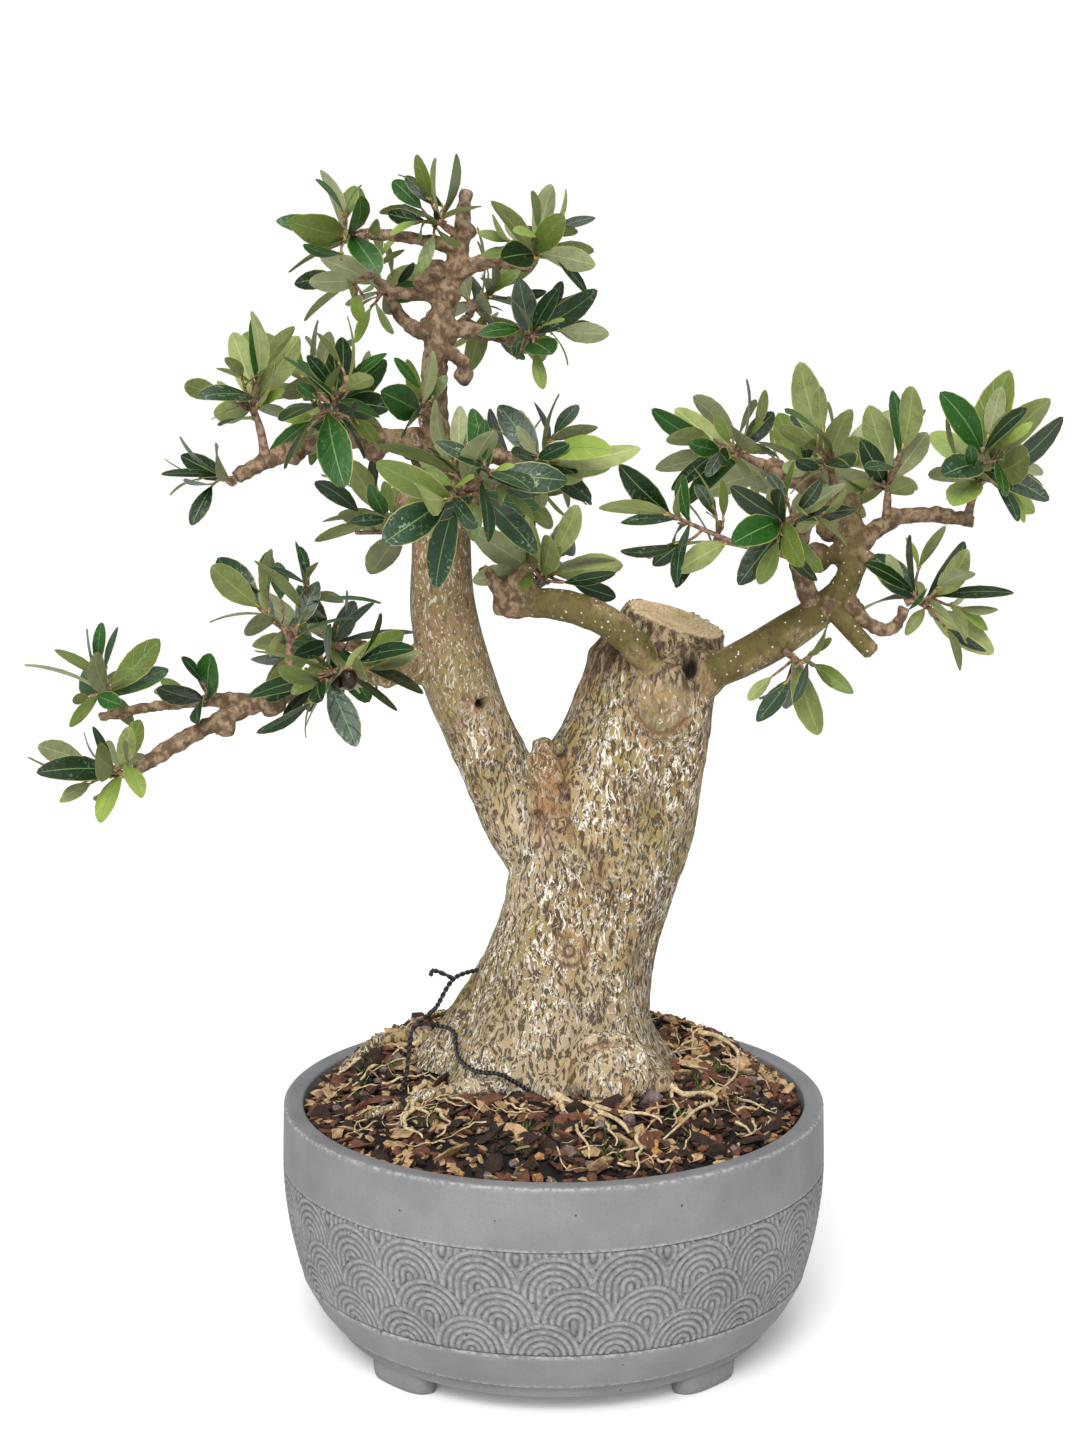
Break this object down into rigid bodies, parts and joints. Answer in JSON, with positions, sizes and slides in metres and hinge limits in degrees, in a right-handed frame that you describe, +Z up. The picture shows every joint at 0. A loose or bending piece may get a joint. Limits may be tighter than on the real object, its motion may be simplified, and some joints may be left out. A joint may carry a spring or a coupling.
{
  "type": "olive bonsai tree in a bowl",
  "caption": "Miniature olive tree with a thick sawn-topped trunk, thin leafy boughs and soil, standing in a round bowl carved with overlapping waves.",
  "frame": {"origin": "centre of the whole plant's box on the surface that the bowl's feet stand on", "axes": "+Z up along the trunk, +X to the right and -Y to the front of the plant as it is usually looked at"},
  "size_m": [0.4432, 0.24, 0.5178],
  "materials": {
    "bark": "rough grey-brown bark with whitish flecks",
    "twig_bark": "smoother olive-brown bark with pale pores",
    "olive_leaf": "glossy dark green above, matte sage below",
    "stoneware": "matte grey with worn pale edges",
    "potting_soil": "rough dark soil with bark chips and pebbles",
    "wire_coat": "black coated wire, satin"
  },
  "bodies": {
    "root": {"bough_centre_back": "twig_bark", "bough_centre_front": "twig_bark", "bough_centre_right": "twig_bark", "bough_low_left": "twig_bark", "bough_low_left_back": "twig_bark", "bough_low_left_upper": "twig_bark", "bough_mid_left": "twig_bark", "bough_mid_left_back": "twig_bark", "bough_right_back": "twig_bark", "bough_right_far": "twig_bark", "bough_right_front": "twig_bark", "bough_right_low": "twig_bark", "bough_right_main": "twig_bark", "bough_stump_left": "twig_bark", "bough_stump_right": "twig_bark", "bough_top_back": "twig_bark", "bough_top_left": "twig_bark", "bough_top_left_low": "twig_bark", "bough_top_left_mid": "twig_bark", "bough_top_right": "twig_bark", "bough_top_right_low": "twig_bark", "bowl": "stoneware", "leader": "bark", "leaves_centre_back": "olive_leaf", "leaves_centre_front": "olive_leaf", "leaves_centre_low": "olive_leaf", "leaves_centre_right": "olive_leaf", "leaves_low_left_back": "olive_leaf", "leaves_low_left_inner": "olive_leaf", "leaves_low_left_middle": "olive_leaf", "leaves_low_left_riser": "olive_leaf", "leaves_low_left_tip": "olive_leaf", "leaves_low_left_upper": "olive_leaf", "leaves_mid_left_back": "olive_leaf", "leaves_mid_left_inner": "olive_leaf", "leaves_mid_left_near": "olive_leaf", "leaves_mid_left_outer": "olive_leaf", "leaves_mid_left_tip": "olive_leaf", "leaves_mid_left_under": "olive_leaf", "leaves_right_back": "olive_leaf", "leaves_right_front": "olive_leaf", "leaves_right_hanging": "olive_leaf", "leaves_right_high": "olive_leaf", "leaves_right_inner": "olive_leaf", "leaves_right_inner_low": "olive_leaf", "leaves_right_low": "olive_leaf", "leaves_right_middle": "olive_leaf", "leaves_right_tip": "olive_leaf", "leaves_top_apex": "olive_leaf", "leaves_top_back": "olive_leaf", "leaves_top_left": "olive_leaf", "leaves_top_left_low": "olive_leaf", "leaves_top_left_mid": "olive_leaf", "leaves_top_right": "olive_leaf", "leaves_top_right_low": "olive_leaf", "root_front_left": "twig_bark", "root_left": "twig_bark", "soil": "potting_soil", "tie_wire": "wire_coat", "trunk": "bark"}
  },
  "joints": []
}
